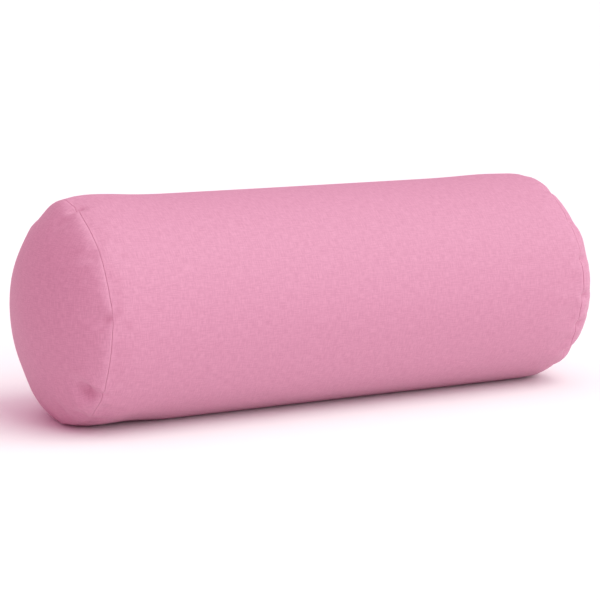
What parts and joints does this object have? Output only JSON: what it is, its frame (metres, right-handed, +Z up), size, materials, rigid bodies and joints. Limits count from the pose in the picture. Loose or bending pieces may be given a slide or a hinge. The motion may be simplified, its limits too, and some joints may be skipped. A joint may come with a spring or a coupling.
{
  "type": "bolster pillow",
  "caption": "Firm round bolster pillow: a pink canvas tube with domed round ends, sewn seams, a hidden zip along the back and a fibre-filled inner cushion.",
  "frame": {"origin": "on the surface that the bolster lies on, under the middle of its length; the bolster's axis is 96 mm above it", "axes": "+X along the bolster, towards the end where the zip closes; +Y towards the side with the zip; +Z up"},
  "size_m": [0.5648, 0.2033, 0.196],
  "materials": {
    "cover_fabric": "matte plain-weave canvas, dyed pink, with a fine slub",
    "cover_thread": "matte polyester sewing thread, a shade darker than the canvas",
    "zip_tape": "close-woven polyester tape, dyed to match",
    "zip_nylon": "satin nylon, dyed to match",
    "zip_enamel": "satin enamel on zinc, coloured to match",
    "liner_fabric": "plain unbleached cotton",
    "liner_thread": "matte sewing thread",
    "fibre": "loose siliconised polyester fibre"
  },
  "bodies": {
    "pillow": {"cover_body_panel": "cover_fabric", "cover_end_left": "cover_fabric", "cover_end_right": "cover_fabric", "end_seam_thread_left": "cover_thread", "overlock_thread_left": "cover_thread", "closing_seam_thread_left": "cover_thread", "end_seam_thread_right": "cover_thread", "overlock_thread_right": "cover_thread", "closing_seam_thread_right": "cover_thread", "zip_tape_upper": "zip_tape", "zip_tape_stitches_upper": "cover_thread", "zip_coil_upper": "zip_nylon", "zip_top_stop_upper": "zip_nylon", "zip_tape_lower": "zip_tape", "zip_tape_stitches_lower": "cover_thread", "zip_coil_lower": "zip_nylon", "zip_top_stop_lower": "zip_nylon", "zip_bottom_stop": "zip_nylon", "liner_tube": "liner_fabric", "liner_end_left": "liner_fabric", "liner_seam_thread_left": "liner_thread", "liner_end_right": "liner_fabric", "liner_seam_thread_right": "liner_thread", "fibre_filling": "fibre"},
    "slider": {"zip_slider": "zip_enamel"},
    "pull_tab": {"zip_pull_tab": "zip_enamel"}
  },
  "joints": [
    {"name": "slider_travel", "type": "slide", "parent": "pillow", "child": "slider", "axis": [-1, 0, 0], "range_m": [0, 0.358]},
    {"name": "pull_swing", "type": "hinge", "parent": "slider", "child": "pull_tab", "pos_m": [0.1796, 0.10195, 0.096], "axis": [0, 0, -1], "range_deg": [0, 180]}
  ]
}
